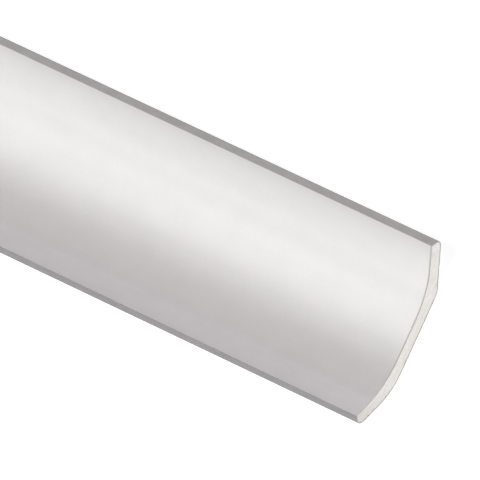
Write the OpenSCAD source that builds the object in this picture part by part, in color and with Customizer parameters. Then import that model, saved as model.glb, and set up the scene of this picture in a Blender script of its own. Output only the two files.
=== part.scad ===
// Paper-faced plaster coving with a C-shaped section, one stock length.
// It lies on its flat back with the hollow face up. X runs along the length,
// Y across, and Z up from the floor to the hollow side. The leg on the +Y side
// is called the wall leg and the one on the -Y side the ceiling leg.

/* [Length] */
// Length of the piece
coving_l = 2000; // [600:50:4200]

/* [Back] */
// Width of the flat back, between the corners where the two sloping backs start
back_w = 64.8; // [56:0.2:80]
// Slope of the two backs that are stuck to the wall and the ceiling
back_slope = 45; // [40:0.5:50]
// Sloping back of the wall leg, from its corner to the edge
wall_back_w = 45.3; // [38:0.1:60]
// Sloping back of the ceiling leg, from its corner to the edge
ceiling_back_w = 40.9; // [38:0.1:60]
// Radius of the bend between the flat back and the wall leg
wall_bend_r = 9.4; // [5:0.1:30]
// Radius of the bend between the flat back and the ceiling leg
ceiling_bend_r = 30.4; // [5:0.1:32]

/* [Face] */
// Thickness of the two legs
leg_t = 11.7; // [11:0.1:14]
// Thickness in the middle of the section
middle_t = 14.5; // [13:0.1:17]
// Radius of the shallow curve across the middle of the face
middle_r = 400; // [200:10:800]
// Radius of the bend between the middle of the face and the wall leg
wall_face_r = 45.5; // [20:0.5:55]
// Radius of the bend between the middle of the face and the ceiling leg
ceiling_face_r = 45; // [20:0.5:55]

/* [Edges] */
// Radius of the back corner along the wall leg's edge
wall_edge_r = 7.3; // [2:0.1:9]
// Radius of the back corner along the ceiling leg's edge
ceiling_edge_r = 10.3; // [2:0.1:11]
// How far the front of the wall leg's edge leans out past its back
wall_lean = 2.65; // [0:0.05:3.5]
// How far the front of the ceiling leg's edge leans out past its back
ceiling_lean = 1.1; // [0:0.05:3.5]
// Radius of the arris, where the face meets the front of each edge
arris_r = 0.3; // [0.2:0.05:1.5]

/* [Paper] */
// Thickness of the paper on the face and on the back
paper_t = 0.8; // [0.4:0.05:1]

/* [Hidden] */

// Turn between two points of an arc, in degrees
arc_step = 4;
// The same for the arris, and the smallest radius that it has under the paper
arris_step = 25;
inner_arris_r = 0.2;
// Direction of a leg's back, running outwards, and the direction square to it, to the face
leg_dir = back_slope;
leg_side = leg_dir + 90;

plaster_colour = "#e9e6e0";
face_colour = "#eeece8";
back_colour = "#a9a5a0";

// Each leg is a list: sloping back, back bend, face bend, edge corner and lean of the edge
WALL = [wall_back_w, wall_bend_r, wall_face_r, wall_edge_r, wall_lean];
CEILING = [ceiling_back_w, ceiling_bend_r, ceiling_face_r, ceiling_edge_r, ceiling_lean];
function back_len(leg) = leg[0];
function back_bend(leg) = leg[1];
function face_bend(leg) = leg[2];
function edge_corner(leg) = leg[3];
function lean(leg) = leg[4];

// Unit vector at an angle, in the plane of the section
function dir(a) = [cos(a), sin(a)];
// Points along an arc, both ends included, with at least two stretches
function arc(centre, r, from, to, step = arc_step) =
    let (n = max(2, ceil(abs(to - from) / step)))
    [for (i = [0:n]) centre + r * dir(from + (to - from) * i / n)];
// A list without its first and last point, and a list in reverse order
function between(pts) = [for (i = [1:len(pts) - 2]) pts[i]];
function reverse(pts) = [for (i = [len(pts) - 1:-1:0]) pts[i]];
// Points of one side carried over to the other side, in the order that keeps the outline's turn
function flip(pts) = [for (p = reverse(pts)) [-p[0], p[1]]];

// Every leg is drawn on the +Y side. These are the corners of its back and edge, and of its
// face and edge, before they are rounded.
bend_corner = [back_w / 2, 0];
function back_corner(leg) = bend_corner + back_len(leg) * dir(leg_dir);
function face_corner(leg) = back_corner(leg) + leg_t * dir(leg_side) + lean(leg) * dir(leg_dir);
// How far the edge turns away from square to the leg, the length of its straight face, and
// how much of it a round of a given radius takes up at the arris and at the back corner. The
// back corner leaves room for the arris.
function edge_turn(leg) = atan2(lean(leg), leg_t);
function edge_len(leg) = norm([lean(leg), leg_t]);
function arris_run(leg, r) = r * tan((90 + edge_turn(leg)) / 2);
function edge_run(leg, r) = r * tan((90 - edge_turn(leg)) / 2);
function edge_r(leg) = min(edge_corner(leg),
    (edge_len(leg) - arris_run(leg, max(arris_r, paper_t + inner_arris_r))) / edge_run(leg, 1));

// Radius of the arris at a depth under the surface
function arris_at(depth) = max(arris_r - depth, inner_arris_r);

// Centres of the rounds: back bend, back corner of the edge, and the arris at a depth
function bend_centre(leg) = bend_corner + back_bend(leg) * [-tan(back_slope / 2), 1];
function edge_centre(leg) =
    back_corner(leg) - edge_run(leg, edge_r(leg)) * dir(leg_dir) + edge_r(leg) * dir(leg_side);
function arris_centre(leg, depth) =
    let (off = depth + arris_at(depth))
    face_corner(leg) - arris_run(leg, off) * dir(leg_dir) - off * dir(leg_side);

// The arris turns from the edge to the face, and the two papers meet half way round it
function seam_turn(leg) = leg_dir + (90 - edge_turn(leg)) / 2;
function arris(leg, depth, from, to) =
    arc(arris_centre(leg, depth), arris_at(depth), from, to, arris_step);

// The back of one leg at a depth under the surface: its bend, its edge corner, and the arris
// up to the seam
function leg_back(leg, depth) = concat(
    arc(bend_centre(leg), back_bend(leg) - depth, -90, leg_dir - 90),
    arc(edge_centre(leg), edge_r(leg) - depth, leg_dir - 90, leg_dir - edge_turn(leg)),
    arris(leg, depth, leg_dir - edge_turn(leg), seam_turn(leg)));

// The bend between a leg's face and the shallow curve across the middle touches both. Its
// centre lies one bend radius off the leg's face, and its distance from the centre of the
// shallow curve is the difference of the two radii. The slide along the leg that does both
// is the smaller root of a quadratic.
middle_centre = [0, middle_t + middle_r];
function face_start(leg) = bend_corner + (leg_t + face_bend(leg)) * dir(leg_side) - middle_centre;
function face_slide(leg) =
    let (along = face_start(leg) * dir(leg_dir),
         off = face_start(leg) * face_start(leg) - (middle_r - face_bend(leg)) ^ 2)
    -along - sqrt(along ^ 2 - off);
function face_way(leg) = face_start(leg) + face_slide(leg) * dir(leg_dir);
function face_turn(leg) = atan2(face_way(leg)[1], face_way(leg)[0]);

// The face of one leg at a depth under the surface, from the seam on the arris
function leg_face(leg, depth) = concat(
    arris(leg, depth, seam_turn(leg), leg_side),
    arc(middle_centre + face_way(leg), face_bend(leg) + depth, leg_dir - 90, face_turn(leg)));

// The whole back and the whole face at a depth under the surface, each from seam to seam
function back_line(depth) = concat(flip(leg_back(CEILING, depth)), leg_back(WALL, depth));
function face_line(depth) = concat(
    leg_face(WALL, depth),
    between(arc(middle_centre, middle_r + depth, face_turn(WALL), -180 - face_turn(CEILING))),
    flip(leg_face(CEILING, depth)));

// Half way between the two outermost points, so that the piece is centred across its width
outline_y = [for (p = concat(back_line(0), face_line(0))) p[0]];
mid_y = (max(outline_y) + min(outline_y)) / 2;

// A section drawn in Y and Z, carried along the whole length
module stock(section) {
    translate([0, -mid_y, 0])
        rotate([90, 0, 90])
            linear_extrude(height = coving_l, center = true)
                polygon(section);
}

// Plaster between the two papers
module plaster_core() {
    color(plaster_colour) stock(concat(back_line(paper_t), between(face_line(paper_t))));
}

// Ivory paper over the hollow face, from arris to arris
module face_paper() {
    color(face_colour) stock(concat(face_line(0), reverse(face_line(paper_t))));
}

// Grey paper over the back, wrapped up both long edges to the arrises
module back_paper() {
    color(back_colour) stock(concat(back_line(0), reverse(back_line(paper_t))));
}

plaster_core();
face_paper();
back_paper();
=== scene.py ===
"""Looks of one length of paper-faced plaster coving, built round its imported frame.

The section is a shallow C. Cast plaster fills it, ivory paper covers the hollow face from arris
to arris, and grey paper covers the back and both long edges. The length lies on its flat back
with the hollow face up. X runs along it, +Y points to the wall leg and +Z up.
"""

import logging
import math
from dataclasses import dataclass, field
from enum import Enum

import bpy
import numpy as np
from mathutils import Matrix, Vector


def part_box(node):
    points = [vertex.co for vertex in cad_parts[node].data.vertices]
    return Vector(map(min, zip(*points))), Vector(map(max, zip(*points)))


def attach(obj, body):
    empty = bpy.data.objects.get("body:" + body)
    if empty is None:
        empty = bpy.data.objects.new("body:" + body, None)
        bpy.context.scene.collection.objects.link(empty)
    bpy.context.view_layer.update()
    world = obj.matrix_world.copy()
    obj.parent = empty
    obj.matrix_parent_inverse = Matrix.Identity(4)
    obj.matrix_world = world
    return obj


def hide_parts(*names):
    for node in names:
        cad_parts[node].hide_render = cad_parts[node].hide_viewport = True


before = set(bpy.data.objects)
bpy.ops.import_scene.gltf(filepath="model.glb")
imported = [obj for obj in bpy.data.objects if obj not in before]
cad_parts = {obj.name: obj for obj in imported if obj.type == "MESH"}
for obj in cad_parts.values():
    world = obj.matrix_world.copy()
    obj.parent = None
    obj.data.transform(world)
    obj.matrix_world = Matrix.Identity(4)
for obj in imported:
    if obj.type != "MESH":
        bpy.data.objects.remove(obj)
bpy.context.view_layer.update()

log = logging.getLogger("coving")

MM = 0.001
# Tones across the section are given from this far on the ceiling side to as far on the wall side.
HALF_WIDTH_MM = 60.0
# Points that agree to this many digits of a metre are one point.
MERGE_DIGITS = 8
# Bowls of the air pits, in cells: where a centre may lie, how wide a bowl may be, and a width that
# is never reached, for cells that have none.
PIT_CENTRE = (0.2, 0.8)
PIT_RADIUS = (0.1, 0.35)
NO_RADIUS = 1e-6
# The curve that turns an sRGB value into a linear one.
SRGB_KNEE, SRGB_SLOPE, SRGB_OFFSET, SRGB_POWER = 0.04045, 12.92, 0.055, 2.4
# Sockets of a Mix node for colours: share, first and second colour, and result.
SHARE, FIRST, SECOND, MIXED = 0, 6, 7, 2
# Places and sRGB colours along a colour ramp.
Stops = tuple[tuple[float, str], ...]


class End(Enum):
    """The two sawn ends, by the sign of their X."""

    RIGHT = 1.0
    LEFT = -1.0


def unit(angle: float) -> np.ndarray:
    """Unit vector at an angle in degrees, in the plane of the section."""
    turn = math.radians(angle)
    return np.array([math.cos(turn), math.sin(turn)])


def tan_deg(angle: float) -> float:
    """Tangent of an angle in degrees."""
    return math.tan(math.radians(angle))


def arc(centre: np.ndarray, radius: float, start: float, end: float, step: float) -> np.ndarray:
    """Points on a circle: the centre plus the radius times the unit vector at each angle.

    Args:
        centre: centre of the circle.
        radius: its radius.
        start: angle of the first point, in degrees.
        end: angle of the last point, in degrees.
        step: largest turn between two points, in degrees.

    Returns:
        An array of points, one row each, both ends included.
    """
    count = max(2, math.ceil(abs(end - start) / step))
    angles = np.radians(np.linspace(start, end, count + 1))
    return centre + radius * np.column_stack([np.cos(angles), np.sin(angles)])


def split_long(points: np.ndarray, guide: np.ndarray, longest: float) -> np.ndarray:
    """Cuts each stretch of a line into equal pieces, as many as the same stretch of a guide needs.

    Args:
        points: the line, one row for each point.
        guide: a line with as many points, whose stretches decide the count of pieces.
        longest: greatest length of a piece on the guide.

    Returns:
        The line with the points between added.
    """
    counts = np.maximum(1, np.ceil(np.linalg.norm(np.diff(guide, axis=0), axis=1) / longest))
    counts = counts.astype(int)
    first = np.repeat(np.arange(len(counts)), counts)
    step = np.concatenate([np.arange(n) / n for n in counts])[:, None]
    between = points[first] * (1 - step) + points[first + 1] * step
    return np.vstack([between, points[-1:]])


def flip(points: np.ndarray) -> np.ndarray:
    """Points of the wall side carried over to the ceiling side, in reverse order."""
    return points[::-1] * [-1.0, 1.0]


@dataclass(frozen=True)
class Leg:
    """Sizes of one leg of the section, in millimetres.

    Attributes:
        back_w: length of its back, from the corner of the bend to the corner of the edge.
        bend_r: radius of the bend between the flat back and the leg's back.
        face_r: radius of the bend between the leg's face and the shallow middle curve.
        edge_r: radius of the round between the leg's back and its edge.
        lean: how far the front of the edge leans out past its back.
    """

    back_w: float
    bend_r: float
    face_r: float
    edge_r: float
    lean: float


@dataclass(frozen=True)
class Section:
    """The C-shaped section, in millimetres, with its flat back on the floor and centred in Y.

    Attributes:
        back_w: width of the flat back, between the corners of its two bends.
        slope: angle of each leg, in degrees.
        leg_t: thickness of a leg.
        middle_t: thickness half way across.
        middle_r: radius of the shallow curve across the middle of the face.
        arris_r: radius of the sharp round where an edge meets the face.
        inner_arris_r: smallest radius of that round under the surface.
        paper_t: thickness of the papers.
        wall: the leg that is stuck to the wall.
        ceiling: the leg that is stuck to the ceiling.
        arris_step: largest turn between two points of an arris, in degrees.
        round_step: the same at the back of an edge.
        bend_step: the same in a bend.
        middle_step: the same in the middle curve.
        longest: greatest distance between two points.
    """

    back_w: float = 64.8
    slope: float = 45.0
    leg_t: float = 11.7
    middle_t: float = 14.5
    middle_r: float = 400.0
    arris_r: float = 0.3
    inner_arris_r: float = 0.2
    paper_t: float = 0.8
    wall: Leg = Leg(back_w=45.3, bend_r=9.4, face_r=45.5, edge_r=7.3, lean=2.65)
    ceiling: Leg = Leg(back_w=40.9, bend_r=30.4, face_r=45.0, edge_r=10.3, lean=1.1)
    arris_step: float = 12.0
    round_step: float = 6.0
    bend_step: float = 1.5
    middle_step: float = 0.5
    longest: float = 1.5

    @property
    def out(self) -> np.ndarray:
        """Direction along a leg, away from the middle."""
        return unit(self.slope)

    @property
    def up(self) -> np.ndarray:
        """Direction square to a leg, from its back to its face."""
        return unit(self.slope + 90)

    @property
    def bend_corner(self) -> np.ndarray:
        """Corner of the flat back and a leg's back, before it is rounded."""
        return np.array([self.back_w / 2, 0.0])

    def edge_turn(self, leg: Leg) -> float:
        """How far a leg's edge turns away from square, in degrees."""
        return math.degrees(math.atan2(leg.lean, self.leg_t))

    def edge_centre(self, leg: Leg) -> np.ndarray:
        """Centre of the round at the back of an edge: one radius off the leg's back and off the edge.

        The way back from the corner along the leg is the radius times the tangent of half the
        turn between the two.

        Args:
            leg: the leg.

        Returns:
            The centre.
        """
        corner = self.bend_corner + leg.back_w * self.out
        run = leg.edge_r * tan_deg((90 - self.edge_turn(leg)) / 2)
        return corner - run * self.out + leg.edge_r * self.up

    def arris(self, leg: Leg, depth: float, start: float, end: float) -> np.ndarray:
        """Part of the small round where a leg's edge meets its face, under the surface by a depth.

        Its centre is as far from the edge as from the face: the depth plus its own radius. The
        way back from the sharp corner along the leg is that distance times the tangent of half
        the turn between the two.

        Args:
            leg: the leg.
            depth: how far the line lies under the surface.
            start: angle of its first point, in degrees.
            end: angle of its last point, in degrees.

        Returns:
            Points along the round.
        """
        radius = max(self.arris_r - depth, self.inner_arris_r)
        corner = self.bend_corner + (leg.back_w + leg.lean) * self.out + self.leg_t * self.up
        off = depth + radius
        centre = corner - off * (tan_deg((90 + self.edge_turn(leg)) / 2) * self.out + self.up)
        return arc(centre, radius, start, end, self.arris_step)

    def seam_angle(self, leg: Leg) -> float:
        """Angle at which the two papers meet, half way round the arris, in degrees."""
        return self.slope + (90 - self.edge_turn(leg)) / 2

    def face_centre(self, leg: Leg) -> tuple[np.ndarray, float]:
        """Centre of the bend between a leg's face and the shallow middle curve, which touches both.

        It lies one bend radius off the leg's face, and its distance from the middle curve's
        centre is the difference of the radii. Sliding along the leg until both hold is the
        smaller root of a quadratic.

        Args:
            leg: the leg.

        Returns:
            The centre, and the angle at which the bend meets the middle curve.
        """
        off_face = self.bend_corner + (self.leg_t + leg.face_r) * self.up - self.middle_centre
        along = off_face @ self.out
        rest = off_face @ off_face - (self.middle_r - leg.face_r) ** 2
        way = off_face + (-along - math.sqrt(along**2 - rest)) * self.out
        return self.middle_centre + way, math.degrees(math.atan2(way[1], way[0]))

    @property
    def middle_centre(self) -> np.ndarray:
        """Centre of the shallow curve across the middle of the face."""
        return np.array([0.0, self.middle_t + self.middle_r])

    def leg_back(self, leg: Leg, depth: float) -> np.ndarray:
        """Back of one leg under the surface by a depth: bend, edge corner, arris up to the seam.

        The bend's centre is one radius above the flat back. The way back to it from the corner
        is the radius times the tangent of half the slope.

        Args:
            leg: the leg.
            depth: how far the line lies under the surface.

        Returns:
            Points from the flat back to the seam.
        """
        bend = self.bend_corner + leg.bend_r * np.array([-tan_deg(self.slope / 2), 1.0])
        edge_angle = self.slope - self.edge_turn(leg)
        return np.vstack([
            arc(bend, leg.bend_r - depth, -90, self.slope - 90, self.bend_step),
            arc(self.edge_centre(leg), leg.edge_r - depth, self.slope - 90, edge_angle, self.round_step),
            self.arris(leg, depth, edge_angle, self.seam_angle(leg)),
        ])

    def leg_face(self, leg: Leg, depth: float) -> np.ndarray:
        """Face of one leg under the surface by a depth: arris from the seam on, then the bend.

        Args:
            leg: the leg.
            depth: how far the line lies under the surface.

        Returns:
            Points from the seam to the middle curve.
        """
        centre, turn = self.face_centre(leg)
        return np.vstack([
            self.arris(leg, depth, self.seam_angle(leg), self.slope + 90),
            arc(centre, leg.face_r + depth, self.slope - 90, turn, self.bend_step),
        ])

    def plain_back(self, depth: float) -> np.ndarray:
        """The back from the ceiling seam to the wall seam, before it is centred and split."""
        return np.vstack([flip(self.leg_back(self.ceiling, depth)), self.leg_back(self.wall, depth)])

    def plain_face(self, depth: float) -> np.ndarray:
        """The face from the wall seam to the ceiling seam, before it is centred and split.

        Args:
            depth: how far the line lies under the surface.

        Returns:
            Its points.
        """
        turns = [self.face_centre(leg)[1] for leg in (self.wall, self.ceiling)]
        middle = arc(
            self.middle_centre, self.middle_r + depth, turns[0], -180 - turns[1], self.middle_step
        )
        return np.vstack([
            self.leg_face(self.wall, depth), middle[1:-1], flip(self.leg_face(self.ceiling, depth))
        ])

    @property
    def middle_y(self) -> float:
        """Half way between the two outermost points of the back."""
        across = self.plain_back(0.0)[:, 0]
        return (across.max() + across.min()) / 2

    def back_line(self, depth: float = 0.0) -> np.ndarray:
        """The back in metres, centred, from the ceiling seam to the wall seam."""
        line = split_long(self.plain_back(depth), self.plain_back(0.0), self.longest)
        return (line - [self.middle_y, 0.0]) * MM

    def face_line(self, depth: float = 0.0) -> np.ndarray:
        """The face in metres, centred, from the wall seam to the ceiling seam."""
        line = split_long(self.plain_face(depth), self.plain_face(0.0), self.longest)
        return (line - [self.middle_y, 0.0]) * MM


def smooth_noise(
    across: np.ndarray, along: np.ndarray, cell: float, rng: np.random.Generator
) -> np.ndarray:
    """Smooth random height: random values on a square lattice, blended with a smooth step between.

    Args:
        across: first coordinate of each point.
        along: second coordinate of each point.
        cell: size of a lattice cell, in the same unit.
        rng: source of the random values.

    Returns:
        A height from -1 to 1 for each point.
    """
    grid = np.stack([across - across.min(), along - along.min()]) / cell
    base = np.floor(grid).astype(int)
    part = grid - base
    part = part * part * (3 - 2 * part)
    values = rng.uniform(-1, 1, size=tuple(base.reshape(2, -1).max(axis=1) + 2))
    low = values[base[0], base[1]] * (1 - part[0]) + values[base[0] + 1, base[1]] * part[0]
    high = values[base[0], base[1] + 1] * (1 - part[0]) + values[base[0] + 1, base[1] + 1] * part[0]
    return low * (1 - part[1]) + high * part[1]


def air_pits(
    across: np.ndarray, along: np.ndarray, cell: float, share: float, rng: np.random.Generator
) -> np.ndarray:
    """Depth of round pits, where a saw has opened air bubbles: one bowl at most in each cell.

    Each cell of a square lattice has a random centre and a random radius up to a third of a cell. A
    bowl's depth is its radius times one less the squared distance from its centre in radii.

    Args:
        across: first coordinate of each point.
        along: second coordinate of each point.
        cell: size of a lattice cell, in the same unit.
        share: share of the cells that have a pit.
        rng: source of the random values.

    Returns:
        A depth for each point, in the same unit.
    """
    grid = np.stack([across - across.min(), along - along.min()]) / cell + 1
    base = np.floor(grid).astype(int)
    shape = tuple(base.reshape(2, -1).max(axis=1) + 2)
    centre = rng.uniform(*PIT_CENTRE, size=(2, *shape))
    radius = rng.uniform(*PIT_RADIUS, size=shape) * (rng.uniform(size=shape) < share)
    deepest = np.zeros(across.shape)
    for step_a in (-1, 0, 1):
        for step_b in (-1, 0, 1):
            index = (base[0] + step_a, base[1] + step_b)
            gap_a = grid[0] - index[0] - centre[0][index]
            gap_b = grid[1] - index[1] - centre[1][index]
            reach = np.maximum(radius[index], NO_RADIUS)
            bowl = radius[index] * (1 - (gap_a**2 + gap_b**2) / reach**2)
            deepest = np.maximum(deepest, bowl)
    return deepest * cell


def quad_grid(rows: int, columns: int, closed: bool = False) -> np.ndarray:
    """Corner numbers of the quads of a grid whose points are stored row by row.

    Args:
        rows: number of rows of points.
        columns: number of points in a row.
        closed: whether the last point of a row joins the first.

    Returns:
        Four corner numbers for each quad.
    """
    wide = columns if closed else columns - 1
    row, column = np.meshgrid(np.arange(rows - 1), np.arange(wide), indexing="ij")
    right = (column + 1) % columns
    corners = [row * columns + column, row * columns + right]
    corners += [(row + 1) * columns + right, (row + 1) * columns + column]
    return np.stack(corners, axis=-1).reshape(-1, 4)


def outward(points: np.ndarray, quads: np.ndarray) -> np.ndarray:
    """Quads of a closed shell, turned so that they face outwards.

    The sum over all triangles of the box product of their corners is six times the volume. It
    is negative when the faces look inwards.

    Args:
        points: points of the shell.
        quads: four corner numbers for each face, all turned alike.

    Returns:
        The quads, turned over where they looked inwards.
    """
    a, b, c, d = (points[quads[:, k]] for k in range(4))
    volume = np.einsum("ij,ij->", a, np.cross(b, c)) + np.einsum("ij,ij->", a, np.cross(c, d))
    return quads if volume > 0 else quads[:, ::-1]


def mesh_piece(
    name: str, points: np.ndarray, quads: np.ndarray, slots: np.ndarray, sharp: float = 35.0
) -> bpy.types.Object:
    """Makes a smooth-shaded mesh object at the origin from arrays, with doubled points merged.

    A corner counts when it differs from the one before it, and a face when three corners count.

    Args:
        name: name of the piece.
        points: its points, in metres.
        quads: four corner numbers for each face; a face may touch one point twice.
        slots: material slot of each face.
        sharp: angle in degrees from which an edge stays sharp.

    Returns:
        The object, linked to the scene.
    """
    _, keep, number = np.unique(
        np.round(points, MERGE_DIGITS), axis=0, return_index=True, return_inverse=True
    )
    corners = number.reshape(-1)[quads].astype(np.int32)
    counts = corners != np.roll(corners, 1, axis=1)
    sides = counts.sum(axis=1, dtype=np.int32)
    real = sides > 2
    starts = np.cumsum(sides[real], dtype=np.int32) - sides[real]
    mesh = bpy.data.meshes.new(name)
    mesh.vertices.add(len(keep))
    mesh.vertices.foreach_set("co", points[keep].astype(np.float32).ravel())
    mesh.loops.add(int(sides[real].sum()))
    mesh.loops.foreach_set("vertex_index", corners[real][counts[real]])
    mesh.polygons.add(len(starts))
    mesh.polygons.foreach_set("loop_start", starts)
    mesh.polygons.foreach_set("material_index", slots[real].astype(np.int32))
    mesh.polygons.foreach_set("use_smooth", np.ones(len(starts), dtype=bool))
    mesh.update(calc_edges=True)
    mesh.set_sharp_from_angle(angle=math.radians(sharp))
    piece = bpy.data.objects.new(name, mesh)
    bpy.context.scene.collection.objects.link(piece)
    return piece


def linear(hex_colour: str) -> tuple[float, float, float, float]:
    """An sRGB hex colour as linear red, green, blue and alpha.

    Below the knee the value is divided by the slope. Above it the value is moved and scaled by
    the offset and raised to the power.

    Args:
        hex_colour: the colour, as "#rrggbb".

    Returns:
        Its four linear parts.
    """
    parts = [int(hex_colour[k : k + 2], 16) / 255 for k in (1, 3, 5)]
    turned = [
        v / SRGB_SLOPE if v <= SRGB_KNEE else ((v + SRGB_OFFSET) / (1 + SRGB_OFFSET)) ** SRGB_POWER
        for v in parts
    ]
    return (*turned, 1.0)


def per_mm(size: float) -> float:
    """Scale of a pattern whose cells are a given size in millimetres."""
    return 1.0 / (size * MM)


def across_stops(tones: Stops) -> Stops:
    """Tones at places across the section, in millimetres, as stops from 0 to 1 of its width."""
    return tuple(((place + HALF_WIDTH_MM) / (2 * HALF_WIDTH_MM), colour) for place, colour in tones)


@dataclass
class Shader:
    """A node material under construction.

    Attributes:
        name: name of the material: what it is and how its surface was made.
        material: the material.
        tree: its nodes.
    """

    name: str
    material: bpy.types.Material = field(init=False)
    tree: bpy.types.NodeTree = field(init=False)

    def __post_init__(self) -> None:
        """Starts an empty node tree with its output."""
        self.material = bpy.data.materials.new(self.name)
        self.material.use_nodes = True
        self.tree = self.material.node_tree
        self.tree.nodes.clear()

    def add(
        self, kind: str, links: dict[str | int, object] | None = None, stops: Stops = (),
        **settings: object,
    ) -> bpy.types.Node:
        """Adds a node, sets its values and links its inputs.

        Args:
            kind: Blender's name for the node.
            links: input name or number to an output socket, or to a plain value.
            stops: place and hex colour of each stop, for a colour ramp.
            **settings: properties of the node itself.

        Returns:
            The node.
        """
        node = self.tree.nodes.new(kind)
        for key, value in settings.items():
            setattr(node, key, value)
        for key, value in (links or {}).items():
            if isinstance(value, bpy.types.NodeSocket):
                self.tree.links.new(value, node.inputs[key])
            else:
                node.inputs[key].default_value = value
        for _ in stops[2:]:
            node.color_ramp.elements.new(1.0)
        for number, (place, colour) in enumerate(stops):
            node.color_ramp.elements[number].position = place
            node.color_ramp.elements[number].color = linear(colour)
        return node

    def finish(
        self, colour: bpy.types.NodeSocket, bump: bpy.types.NodeSocket, depth: float, roughness: float,
        specular: float,
    ) -> bpy.types.Material:
        """Joins colour and relief to a dielectric surface and to the output.

        Args:
            colour: base colour.
            bump: height from 0 to 1.
            depth: real height of the relief, in millimetres.
            roughness: how dull the surface is, 0 to 1.
            specular: strength of its reflection, 0.5 being common.

        Returns:
            The finished material.
        """
        relief = self.add("ShaderNodeBump", {"Height": bump, "Distance": depth * MM, "Strength": 1.0})
        surface = self.add("ShaderNodeBsdfPrincipled", {
            "Base Color": colour, "Normal": relief.outputs[0],
            "Roughness": roughness, "Specular IOR Level": specular,
        })
        self.add("ShaderNodeOutputMaterial", {"Surface": surface.outputs[0]})
        return self.material


def across_share(shader: Shader, place: bpy.types.NodeSocket) -> bpy.types.NodeSocket:
    """Share of the way across the section, 0 at its ceiling side and 1 at its wall side.

    Args:
        shader: the material under construction.
        place: Object coordinates.

    Returns:
        The share.
    """
    axes = shader.add("ShaderNodeSeparateXYZ", {"Vector": place}).outputs
    return shader.add("ShaderNodeMapRange", {
        "Value": axes["Y"], "From Min": -HALF_WIDTH_MM * MM, "From Max": HALF_WIDTH_MM * MM,
    }).outputs[0]


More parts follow.
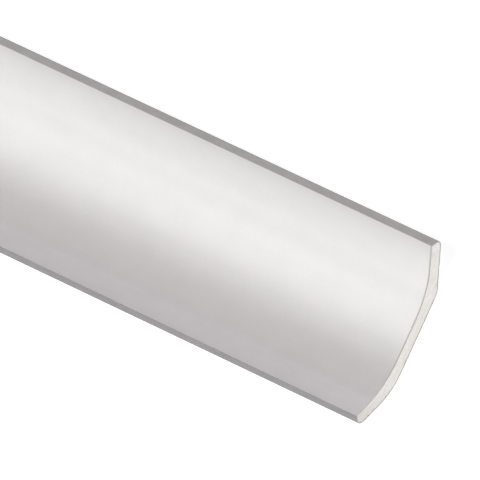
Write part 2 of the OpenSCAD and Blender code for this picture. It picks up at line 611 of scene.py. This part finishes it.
@dataclass(frozen=True)
class IvoryLiner:
    """Calendered ivory paperboard.

    To the eye it is an even, smooth and matt warm white with a faint sheen and a little cloudy
    close up, with painted shade greying it along the arrises. The saw lifts its ivory skin in a ragged
    line along each end, and the grey core shows there.
    """

    # Pulp settles in clouds 10 to 20 mm wide.
    cloud_tones: Stops = ((0.3, "#f2f1ef"), (0.7, "#f5f4f2"))
    cloud_mm: float = 18.0
    cloud_detail: float = 2.0
    # Fibres are about 0.03 mm wide. They are drawn 0.6 mm wide, so that they show.
    fibre_tones: Stops = ((0.25, "#fafafa"), (0.75, "#ffffff"))
    fibre_mm: float = 0.6
    fibre_detail: float = 4.0
    draw: float = 0.35
    # Tones by millimetres across: painted shade greying both arrises, and painted light and a mauve
    # tint of the shade over the middle, a few percent. They are tuned to the photograph.
    painted_light_and_shade: Stops = (
        (-56.0, "#e5e2e4"), (-50.0, "#f3f0f2"), (-45.0, "#fffbfe"), (-37.0, "#fffcfe"), (-28.0, "#fbf7f9"),
        (-18.0, "#f8f5f7"), (-12.0, "#faf8f9"), (-5.0, "#fcfbfb"), (8.0, "#fefdfd"), (16.0, "#fafafa"),
        (31.0, "#fbfafa"), (37.0, "#f5f4f4"), (44.0, "#f0f0f0"), (50.0, "#e8e8e8"), (56.0, "#dcdadb"),
    )
    # A few specks of foreign fibre lie on the whole length.
    speck: str = "#a9a49c"
    speck_cell_mm: float = 34.0
    speck_r_mm: float = 0.4
    # The saw lifts the skin by up to 0.9 mm, and less towards the ceiling arris: black is none.
    core: str = "#b3afac"
    torn: Stops = ((-40.0, "#000000"), (-10.0, "#ffffff"))
    torn_mm: float = 0.9
    torn_soft: float = 0.5
    depth_mm: float = 0.006
    roughness: float = 0.5
    specular: float = 0.9

    def build(self, half_length: float) -> bpy.types.Material:
        """Makes the material: clouds and drawn-out fibres in the tone, rare specks, torn ends.

        Args:
            half_length: distance of the sawn ends from the middle, in metres.

        Returns:
            The material.
        """
        s = Shader("ivory_liner_board")
        place = s.add("ShaderNodeTexCoord").outputs["Object"]
        across = across_share(s, place)
        # Painted light and shade across the section, multiplied into the tone.
        rim = s.add("ShaderNodeValToRGB", {"Fac": across}, across_stops(self.painted_light_and_shade)).outputs[0]
        drawn = s.add("ShaderNodeMapping", {"Vector": place, "Scale": (self.draw, 1.0, 1.0)}).outputs[0]
        fibre = s.add("ShaderNodeTexNoise", {
            "Vector": drawn, "Scale": per_mm(self.fibre_mm), "Detail": self.fibre_detail,
        }).outputs[0]
        cloud = s.add("ShaderNodeTexNoise", {
            "Vector": place, "Scale": per_mm(self.cloud_mm), "Detail": self.cloud_detail,
        }).outputs[0]
        base = s.add("ShaderNodeValToRGB", {"Fac": cloud}, self.cloud_tones).outputs[0]
        tone = s.add("ShaderNodeValToRGB", {"Fac": fibre}, self.fibre_tones).outputs[0]
        for layer in (tone, rim):
            base = s.add("ShaderNodeMix", {
                SHARE: 1.0, FIRST: base, SECOND: layer,
            }, data_type="RGBA", blend_type="MULTIPLY").outputs[MIXED]
        cells = s.add("ShaderNodeTexVoronoi", {"Vector": place, "Scale": per_mm(self.speck_cell_mm)})
        spot = s.add("ShaderNodeMath", {
            0: cells.outputs["Distance"], 1: self.speck_r_mm / self.speck_cell_mm,
        }, operation="LESS_THAN").outputs[0]
        base = s.add("ShaderNodeMix", {
            SHARE: spot, FIRST: base, SECOND: linear(self.speck),
        }, data_type="RGBA").outputs[MIXED]
        along = s.add("ShaderNodeSeparateXYZ", {"Vector": place}).outputs["X"]
        from_middle = s.add("ShaderNodeMath", {0: along}, operation="ABSOLUTE").outputs[0]
        ragged = s.add("ShaderNodeMath", {
            0: fibre, 1: self.torn_mm * MM, 2: from_middle,
        }, operation="MULTIPLY_ADD").outputs[0]
        at_end = s.add("ShaderNodeMapRange", {
            "Value": ragged, "From Min": half_length - self.torn_mm * MM * self.torn_soft,
            "From Max": half_length,
        }).outputs[0]
        share = s.add("ShaderNodeValToRGB", {"Fac": across}, across_stops(self.torn)).outputs[0]
        lifted = s.add("ShaderNodeMath", {0: at_end, 1: share}, operation="MULTIPLY").outputs[0]
        base = s.add("ShaderNodeMix", {
            SHARE: lifted, FIRST: base, SECOND: linear(self.core),
        }, data_type="RGBA").outputs[MIXED]
        return s.finish(base, fibre, self.depth_mm, self.roughness, self.specular)


@dataclass(frozen=True)
class GreyLiner:
    """Unbleached recycled paperboard.

    To the eye it is a flat, matt, cloudy grey with short fibres a little lighter and darker and
    a few brown shreds. Painted shade darkens it over the ceiling leg and along the two long edges.
    """

    # Recycled pulp settles in clouds about 10 mm wide.
    cloud_tones: Stops = ((0.3, "#b7b5b3"), (0.7, "#c0bebc"))
    cloud_mm: float = 11.0
    cloud_detail: float = 3.0
    # Fibres are about 0.03 mm wide. They are drawn 0.7 mm wide, so that they show.
    fibre_tones: Stops = ((0.3, "#eeeeee"), (0.7, "#ffffff"))
    fibre_mm: float = 0.7
    fibre_detail: float = 5.0
    draw: float = 0.3
    # Shreds of print and brown board are up to 1 mm wide, and white in the ramp is all shred.
    fleck: str = "#989490"
    fleck_share: Stops = ((0.68, "#000000"), (0.8, "#ffffff"))
    fleck_mm: float = 0.9
    fleck_detail: float = 1.0
    # Tones by millimetres across, tuned like those of the ivory paper: painted shade, darker over the
    # ceiling leg to even out the lamps on the two edges, and on both outermost bulges where they turn from
    # the light.
    sides: Stops = (
        (-60.0, "#bdbcbf"), (-59.0, "#cccbce"), (-52.0, "#d1d0d2"), (-30.0, "#edebeb"), (0.0, "#fbfafa"),
        (52.0, "#fcfafb"), (59.0, "#fbf9fa"), (60.0, "#e9e7e8"),
    )
    depth_mm: float = 0.03
    roughness: float = 0.8
    specular: float = 0.3

    def build(self) -> bpy.types.Material:
        """Makes the material: fibres and shreds drawn out along the length over a cloudy grey.

        Returns:
            The material.
        """
        s = Shader("grey_liner_board")
        place = s.add("ShaderNodeTexCoord").outputs["Object"]
        across = across_share(s, place)
        # Painted shade across the section, multiplied into the tone.
        side = s.add("ShaderNodeValToRGB", {"Fac": across}, across_stops(self.sides)).outputs[0]
        drawn = s.add("ShaderNodeMapping", {"Vector": place, "Scale": (self.draw, 1.0, 1.0)}).outputs[0]
        fibre = s.add("ShaderNodeTexNoise", {
            "Vector": drawn, "Scale": per_mm(self.fibre_mm), "Detail": self.fibre_detail,
        }).outputs[0]
        cloud = s.add("ShaderNodeTexNoise", {
            "Vector": place, "Scale": per_mm(self.cloud_mm), "Detail": self.cloud_detail,
        }).outputs[0]
        shred = s.add("ShaderNodeTexNoise", {
            "Vector": drawn, "Scale": per_mm(self.fleck_mm), "Detail": self.fleck_detail,
        }).outputs[0]
        base = s.add("ShaderNodeValToRGB", {"Fac": cloud}, self.cloud_tones).outputs[0]
        tone = s.add("ShaderNodeValToRGB", {"Fac": fibre}, self.fibre_tones).outputs[0]
        for layer in (tone, side):
            base = s.add("ShaderNodeMix", {
                SHARE: 1.0, FIRST: base, SECOND: layer,
            }, data_type="RGBA", blend_type="MULTIPLY").outputs[MIXED]
        fleck = s.add("ShaderNodeValToRGB", {"Fac": shred}, self.fleck_share).outputs[0]
        base = s.add("ShaderNodeMix", {
            SHARE: fleck, FIRST: base, SECOND: linear(self.fleck),
        }, data_type="RGBA").outputs[MIXED]
        return s.finish(base, fibre, self.depth_mm, self.roughness, self.specular)


@dataclass(frozen=True)
class SawnPaper:
    """Sawn edge of the paper.

    To the eye it is a dull, woolly grey line: the paper's core, with torn fibre.
    """

    # Torn fibre is about 0.05 mm wide. It is drawn 0.35 mm wide, so that it shows.
    fibre_tones: Stops = ((0.3, "#aaa6a2"), (0.7, "#cbc7c3"))
    fibre_mm: float = 0.35
    fibre_detail: float = 4.0
    depth_mm: float = 0.08
    roughness: float = 0.9
    specular: float = 0.15

    def build(self) -> bpy.types.Material:
        """Makes the material: fine torn fibre in two greys.

        Returns:
            The material.
        """
        s = Shader("sawn_paper_edge")
        place = s.add("ShaderNodeTexCoord").outputs["Object"]
        fibre = s.add("ShaderNodeTexNoise", {
            "Vector": place, "Scale": per_mm(self.fibre_mm), "Detail": self.fibre_detail,
        }).outputs[0]
        base = s.add("ShaderNodeValToRGB", {"Fac": fibre}, self.fibre_tones).outputs[0]
        return s.finish(base, fibre, self.depth_mm, self.roughness, self.specular)


@dataclass(frozen=True)
class CastPlaster:
    """Gypsum plaster, cast with air in it and sawn.

    To the eye it is a warm off-white without any shine, granular and scored by the saw, and
    painted shade makes it a little greyer towards its two edges.
    """

    # Gypsum grains are about 0.1 mm. They are drawn 0.6 mm, so that they show.
    grain_tones: Stops = ((0.3, "#f0efe9"), (0.6, "#fbfaf6"))
    grain_mm: float = 0.6
    grain_detail: float = 5.0
    # The slurry dries in soft patches about 5 mm wide.
    cloud_tones: Stops = ((0.35, "#fafaf9"), (0.65, "#ffffff"))
    cloud_mm: float = 5.0
    cloud_detail: float = 3.0
    # Saw teeth score plaster about 0.3 mm apart. The scores are drawn 0.9 mm apart, to show.
    score_tones: Stops = ((0.4, "#f2f1ef"), (0.55, "#ffffff"))
    score_mm: float = 0.9
    score_detail: float = 2.0
    score_draw: float = 0.1
    score_turn: float = 12.0
    # Tones by millimetres across, tuned in the same way: painted shade, greyer towards both edges, most at
    # the ceiling edge.
    edges: Stops = (
        (-60.0, "#ebebe9"), (-50.0, "#f3f3f1"), (-36.0, "#ffffff"), (42.0, "#ffffff"), (58.0, "#fafafa"),
    )
    depth_mm: float = 0.05
    roughness: float = 0.95
    specular: float = 0.15

    def build(self) -> bpy.types.Material:
        """Makes the material: grains over soft patches, crossed by the straight scores of a saw.

        Returns:
            The material.
        """
        s = Shader("sawn_gypsum_plaster")
        place = s.add("ShaderNodeTexCoord").outputs["Object"]
        grain = s.add("ShaderNodeTexNoise", {
            "Vector": place, "Scale": per_mm(self.grain_mm), "Detail": self.grain_detail,
        }).outputs[0]
        cloud = s.add("ShaderNodeTexNoise", {
            "Vector": place, "Scale": per_mm(self.cloud_mm), "Detail": self.cloud_detail,
        }).outputs[0]
        turned = s.add("ShaderNodeMapping", {
            "Vector": place, "Rotation": (math.radians(self.score_turn), 0.0, 0.0),
        }).outputs[0]
        drawn = s.add("ShaderNodeMapping", {
            "Vector": turned, "Scale": (1.0, self.score_draw, 1.0),
        }).outputs[0]
        score = s.add("ShaderNodeTexNoise", {
            "Vector": drawn, "Scale": per_mm(self.score_mm), "Detail": self.score_detail,
        }).outputs[0]
        base = s.add("ShaderNodeValToRGB", {"Fac": grain}, self.grain_tones).outputs[0]
        patch = s.add("ShaderNodeValToRGB", {"Fac": cloud}, self.cloud_tones).outputs[0]
        line = s.add("ShaderNodeValToRGB", {"Fac": score}, self.score_tones).outputs[0]
        across = across_share(s, place)
        # Painted shade across the section, multiplied into the tone.
        edge = s.add("ShaderNodeValToRGB", {"Fac": across}, across_stops(self.edges)).outputs[0]
        for layer in (patch, line, edge):
            base = s.add("ShaderNodeMix", {
                SHARE: 1.0, FIRST: base, SECOND: layer,
            }, data_type="RGBA", blend_type="MULTIPLY").outputs[MIXED]
        relief = s.add("ShaderNodeMath", {0: grain, 1: score}, operation="ADD").outputs[0]
        return s.finish(base, relief, self.depth_mm, self.roughness, self.specular)


@dataclass
class Part:
    """What every piece has.

    Attributes:
        name: its name.
        node: the CAD node that it stands for.
        slot: the record's slot for its finish. It is not used.
    """

    name: str
    node: str
    slot: str

    def dress(self, piece: bpy.types.Object, materials: list[bpy.types.Material]) -> bpy.types.Object:
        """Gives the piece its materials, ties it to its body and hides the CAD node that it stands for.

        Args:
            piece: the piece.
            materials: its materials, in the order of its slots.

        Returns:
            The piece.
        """
        for material in materials:
            piece.data.materials.append(material)
        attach(piece, "root")
        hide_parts(self.node)
        return piece


@dataclass
class Liner(Part):
    """One paper: a thin shell carried along the whole length, with sawn ends.

    Attributes:
        outer: its outer line in the section, in metres.
        inner: its inner line, with as many points.
        half_length: distance of its ends from the middle.
        station_step: distance between two rings.
        wave: deepest that its surface sinks.
        wave_cell: width of a wave.
        lip: most that a point of a ragged end stands back.
        seed: seed of its random values.
    """

    outer: np.ndarray
    inner: np.ndarray
    half_length: float
    station_step: float = 12.5 * MM
    wave: float = 0.05 * MM
    wave_cell: float = 0.12
    lip: float = 0.12 * MM
    seed: int = 11

    def stations(self) -> np.ndarray:
        """Places along X of the rings, evenly spaced from end to end."""
        count = math.ceil(2 * self.half_length / self.station_step)
        return np.linspace(-self.half_length, self.half_length, count + 1)

    def build(self) -> bpy.types.Object:
        """Carries the ring of outer and inner line along X and closes both ends with quads.

        The outer surface sinks by a smooth random depth of a few hundredths of a millimetre, as
        paper over cast plaster does. The two end rings stand back by a random part of the lip.

        Returns:
            The finished piece, with slot 0 for its faces and slot 1 for its sawn ends.
        """
        rng = np.random.default_rng(self.seed)
        stations = self.stations()
        ring = np.vstack([self.outer, self.inner[::-1]])
        columns, rows = len(ring), len(stations)
        points = np.empty((rows, columns, 3))
        points[:, :, 0] = stations[:, None]
        points[:, :, 1:] = ring[None]
        tangent = np.gradient(self.outer, axis=0)
        tangent /= np.linalg.norm(tangent, axis=1, keepdims=True)
        inwards = np.column_stack([-tangent[:, 1], tangent[:, 0]])
        run = np.r_[0, np.cumsum(np.linalg.norm(np.diff(self.outer, axis=0), axis=1))]
        x_grid, s_grid = np.meshgrid(stations, run, indexing="ij")
        depth = self.wave * (1 + smooth_noise(x_grid, s_grid, self.wave_cell, rng)) / 2
        points[:, : len(self.outer), 1:] += depth[..., None] * inwards[None]
        points[0, :, 0] += rng.uniform(0, self.lip, columns)
        points[-1, :, 0] -= rng.uniform(0, self.lip, columns)
        sides = quad_grid(rows, columns, closed=True)
        half = len(self.outer)
        first = np.arange(half - 1)
        cap = np.column_stack([first, columns - 1 - first, columns - 2 - first, first + 1])
        far_cap = cap[:, ::-1] + (rows - 1) * columns
        quads = np.vstack([sides, cap, far_cap])
        flat = points.reshape(-1, 3)
        slots = np.r_[np.zeros(len(sides), int), np.ones(2 * len(cap), int)]
        return mesh_piece(self.name, flat, outward(flat, quads), slots)


@dataclass
class Core(Part):
    """The cast plaster: two sawn ends with real grain, joined by the faces under the papers.

    Attributes:
        section: the section.
        half_length: distance of its ends from the middle, in metres.
        across_count: steps from arris to arris on a sawn end.
        through_count: steps from back to face.
        recess: how far the plaster stands back from the cut of the papers.
        grain: half the depth of the grain.
        grain_cell: width of a grain.
        swell: depth of the slow swell.
        swell_cell: its width.
        pit_cell: size of the lattice of air bubbles.
        pit_share: share of its cells that have one.
        sharp: angle in degrees from which an edge stays sharp.
        seed: seed of its random values.
    """

    section: Section
    half_length: float
    across_count: int = 440
    through_count: int = 42
    recess: float = 0.1 * MM
    grain: float = 0.04 * MM
    grain_cell: float = 0.8 * MM
    swell: float = 0.08 * MM
    swell_cell: float = 6.0 * MM
    pit_cell: float = 1.6 * MM
    pit_share: float = 0.12
    sharp: float = 70.0
    seed: int = 23

    def outline(self, line: np.ndarray) -> np.ndarray:
        """A line of the section cut into equal steps of its own length.

        Args:
            line: the line.

        Returns:
            Its points at the steps.
        """
        run = np.r_[0, np.cumsum(np.linalg.norm(np.diff(line, axis=0), axis=1))]
        steps = np.linspace(0, run[-1], self.across_count + 1)
        return np.column_stack([np.interp(steps, run, line[:, k]) for k in (0, 1)])

    def end_grid(self, end: End) -> np.ndarray:
        """Points of one sawn end: straight lines from the back to the face, step by step.

        A point at share v of a line is the back's point times one less v, plus the face's
        point times v. Its X lies under the end of the paper by the recess, a slow swell, the
        grain and the depth of the opened air bubbles.

        Args:
            end: which end.

        Returns:
            A grid of points, back to face in each row.
        """
        rng = np.random.default_rng(self.seed + (end is End.RIGHT))
        depth = self.section.paper_t
        back = self.outline(self.section.back_line(depth))
        face = self.outline(self.section.face_line(depth)[::-1])
        share = np.linspace(0, 1, self.through_count + 1)[None, :, None]
        flat = back[:, None] * (1 - share) + face[:, None] * share
        across, height = flat[..., 0], flat[..., 1]
        sunk = self.recess + self.swell * (1 + smooth_noise(across, height, self.swell_cell, rng)) / 2
        sunk = sunk + self.grain * (1 + smooth_noise(across, height, self.grain_cell, rng))
        sunk = sunk + air_pits(across, height, self.pit_cell, self.pit_share, rng)
        along = end.value * (self.half_length - sunk)
        return np.concatenate([along[..., None], flat], axis=-1)

    def build(self) -> bpy.types.Object:
        """Joins the two end grids by the faces that lie under the papers.

        Returns:
            The finished piece.
        """
        left, right = self.end_grid(End.LEFT), self.end_grid(End.RIGHT)
        rows, columns = left.shape[:2]
        count = rows * columns
        ends = quad_grid(rows, columns)
        under_back = np.arange(rows) * columns
        under_face = under_back + columns - 1
        skins = [
            np.column_stack([line[:-1], line[1:], line[1:] + count, line[:-1] + count])
            for line in (under_back, under_face)
        ]
        quads = np.vstack([ends, ends[:, ::-1] + count, skins[0], skins[1][:, ::-1]])
        points = np.vstack([left.reshape(-1, 3), right.reshape(-1, 3)])
        return mesh_piece(self.name, points, outward(points, quads), np.zeros(len(quads), int), self.sharp)


@dataclass
class Coving:
    """The whole length: plaster and two papers, each in the place of its CAD node.

    Attributes:
        section: the section of all three.
    """

    section: Section = field(default_factory=Section)

    @property
    def half_length(self) -> float:
        """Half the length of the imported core, in metres."""
        low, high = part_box("plaster_core")
        return (high.x - low.x) / 2

    def build(self) -> list[bpy.types.Object]:
        """Builds and dresses the three pieces, and hides the CAD node of each.

        Returns:
            The finished pieces.
        """
        s, half = self.section, self.half_length
        face_lines = s.face_line(), s.face_line(s.paper_t)
        back_lines = s.back_line(), s.back_line(s.paper_t)
        core = Core("cast_plaster", "plaster_core", "plaster", s, half)
        face = Liner("ivory_face_liner", "face_paper", "face_liner", *face_lines, half, seed=31)
        back = Liner("grey_back_liner", "back_paper", "back_liner", *back_lines, half, seed=47)
        sawn = SawnPaper().build()
        plaster = CastPlaster().build()
        finishes = [
            (core, [plaster]),
            (face, [IvoryLiner().build(half), sawn]),
            (back, [GreyLiner().build(), sawn]),
        ]
        return [part.dress(part.build(), materials) for part, materials in finishes]


@dataclass(frozen=True)
class Lamp:
    """A soft far light, placed by the section it lights.

    Attributes:
        name: its name.
        around: its angle round the section in degrees: 0 is level on the ceiling leg's side, 90
            straight above and 180 level on the wall leg's side.
        along: its lean towards +X, in degrees.
        spread: its width as the object sees it, in degrees.
        power: brightness of a white sheet that faces it.
        colour: its colour.
    """

    name: str
    around: float
    along: float
    spread: float
    power: float
    colour: str = "#ffffff"

    def way(self) -> Vector:
        """Direction from the object to the lamp.

        Returns:
            A unit vector.
        """
        around, along = math.radians(self.around), math.radians(self.along)
        across = math.cos(along)
        return Vector((math.sin(along), -across * math.cos(around), across * math.sin(around)))

    def build(self) -> None:
        """Makes the lamp: a sun of pi watts a square metre lights a white sheet to 1."""
        lamp = bpy.data.lights.new(self.name, "SUN")
        lamp.angle = math.radians(self.spread)
        lamp.energy = self.power * math.pi
        lamp.color = linear(self.colour)[:3]
        light = bpy.data.objects.new(self.name, lamp)
        light.rotation_mode = "QUATERNION"
        light.rotation_quaternion = self.way().to_track_quat("Z", "Y")
        bpy.context.scene.collection.objects.link(light)


@dataclass(frozen=True)
class Studio:
    """A pale floor lit from below like a light table, a low white backdrop, and soft far lamps.

    Attributes:
        floor_r: radius of the floor, in metres.
        backdrop_h: height of the backdrop round it.
        sides: how many sides both have.
        floor_colour: colour of both.
        roughness: how dull both are.
        specular: strength of their reflection.
        floor_glow: strength of the floor's own light.
        backdrop_glow: strength of the backdrop's.
        surround: colour of the even light from all round, and of the glow.
        sky: its strength.
        lamps: the lamps.
    """

    floor_r: float = 50.0
    backdrop_h: float = 3.0
    sides: int = 72
    floor_colour: str = "#a9a9a9"
    roughness: float = 1.0
    specular: float = 0.0
    floor_glow: float = 0.87
    backdrop_glow: float = 1.0
    surround: str = "#ffffff"
    sky: float = 0.04
    lamps: tuple[Lamp, ...] = (
        Lamp("overhead", around=78.0, along=-28.0, spread=30.0, power=0.636),
        Lamp("key", around=25.0, along=0.0, spread=8.0, power=0.408),
        Lamp("low_light", around=175.0, along=-5.0, spread=14.0, power=0.24, colour="#f8f8ff"),
        Lamp("end_light", around=150.0, along=75.0, spread=20.0, power=0.36, colour="#fff9fe"),
    )

    def build(self) -> None:
        """Makes the floor, the backdrop, the even surround and the lamps."""
        self.stage()
        world = bpy.data.worlds.new("surround")
        world.use_nodes = True
        background = world.node_tree.nodes["Background"]
        background.inputs["Color"].default_value = linear(self.surround)
        background.inputs["Strength"].default_value = self.sky
        bpy.context.scene.world = world
        for lamp in self.lamps:
            lamp.build()

    def stage(self) -> None:
        """A round floor, far larger than any view of the object, with a low wall round its rim.

        The points of the rim are the radius times the cosine and sine of evenly spaced angles,
        once on the ground and once at the height of the wall.
        """
        turn = np.linspace(0, 2 * math.pi, self.sides, endpoint=False)
        ring = self.floor_r * np.column_stack([np.cos(turn), np.sin(turn), np.zeros(self.sides)])
        wall = np.vstack([ring, ring + [0.0, 0.0, self.backdrop_h]])
        first = np.arange(self.sides)
        after = (first + 1) % self.sides
        quads = np.column_stack([after, first, first + self.sides, after + self.sides])
        self.set_piece("floor", ring, [first.tolist()], self.floor_glow)
        self.set_piece("backdrop", wall, quads.tolist(), self.backdrop_glow)

    def set_piece(self, name: str, points: np.ndarray, faces: list[list[int]], glow: float) -> None:
        """Makes one piece of the stage, matt and pale, that also glows.

        Args:
            name: its name.
            points: its points, in metres.
            faces: corner numbers of each face.
            glow: strength of its own light.
        """
        mesh = bpy.data.meshes.new(name)
        mesh.from_pydata(points.tolist(), [], faces)
        piece = bpy.data.objects.new(name, mesh)
        bpy.context.scene.collection.objects.link(piece)
        s = Shader(f"pale_{name}")
        surface = s.add("ShaderNodeBsdfPrincipled", {
            "Base Color": linear(self.floor_colour), "Roughness": self.roughness,
            "Specular IOR Level": self.specular,
            "Emission Color": linear(self.surround), "Emission Strength": glow,
        })
        s.add("ShaderNodeOutputMaterial", {"Surface": surface.outputs[0]})
        mesh.materials.append(s.material)


@dataclass(frozen=True)
class View:
    """The photograph's view: from above the hollow face, past one sawn end, with a long lens.

    Attributes:
        aim: the point that it looks at, in metres.
        azimuth: its angle round the object from +X, in degrees.
        elevation: its angle above the floor.
        roll: its turn round its own line of sight.
        distance: its distance from the aim, in metres.
        lens: focal length, in millimetres.
        sensor: width of the sensor, in millimetres.
        clip: nearest and farthest distance that it shows.
    """

    aim: tuple[float, float, float] = (0.87646, 0.00912, 0.020)
    azimuth: float = 4.92
    elevation: float = 67.93
    roll: float = -70.08
    distance: float = 6.5557
    lens: float = 810.0
    sensor: float = 36.0
    clip: tuple[float, float] = (0.1, 100.0)

    def build(self) -> bpy.types.Object:
        """Makes the camera and sets it as the scene's.

        Returns:
            The camera.
        """
        turn, rise = math.radians(self.azimuth), math.radians(self.elevation)
        back = Vector((math.cos(turn) * math.cos(rise), math.sin(turn) * math.cos(rise), math.sin(rise)))
        level = Vector((0, 0, 1)).cross(back).normalized()
        above = back.cross(level)
        roll = math.radians(self.roll)
        right = level * math.cos(roll) + above * math.sin(roll)
        up = back.cross(right)
        lens = bpy.data.cameras.new("camera")
        lens.lens, lens.sensor_width = self.lens, self.sensor
        lens.clip_start, lens.clip_end = self.clip
        camera = bpy.data.objects.new("camera", lens)
        camera.matrix_world = Matrix.Translation(Vector(self.aim) + back * self.distance) @ Matrix(
            (right, up, back)
        ).transposed().to_4x4()
        bpy.context.scene.collection.objects.link(camera)
        bpy.context.scene.camera = camera
        return camera


def write_sizes() -> None:
    """Brings the placements of the scene up to date; it writes nothing."""
    bpy.context.view_layer.update()


def main() -> None:
    """Builds the coving, the studio and the camera, and reports each piece."""
    logging.basicConfig(level=logging.INFO, format="%(name)s: %(message)s")
    View().build()
    for piece in Coving().build():
        log.info("%s: %d faces", piece.name, len(piece.data.polygons))
    Studio().build()
    bpy.context.scene.view_settings.view_transform = "Standard"
    write_sizes()


if __name__ == "__main__":
    main()
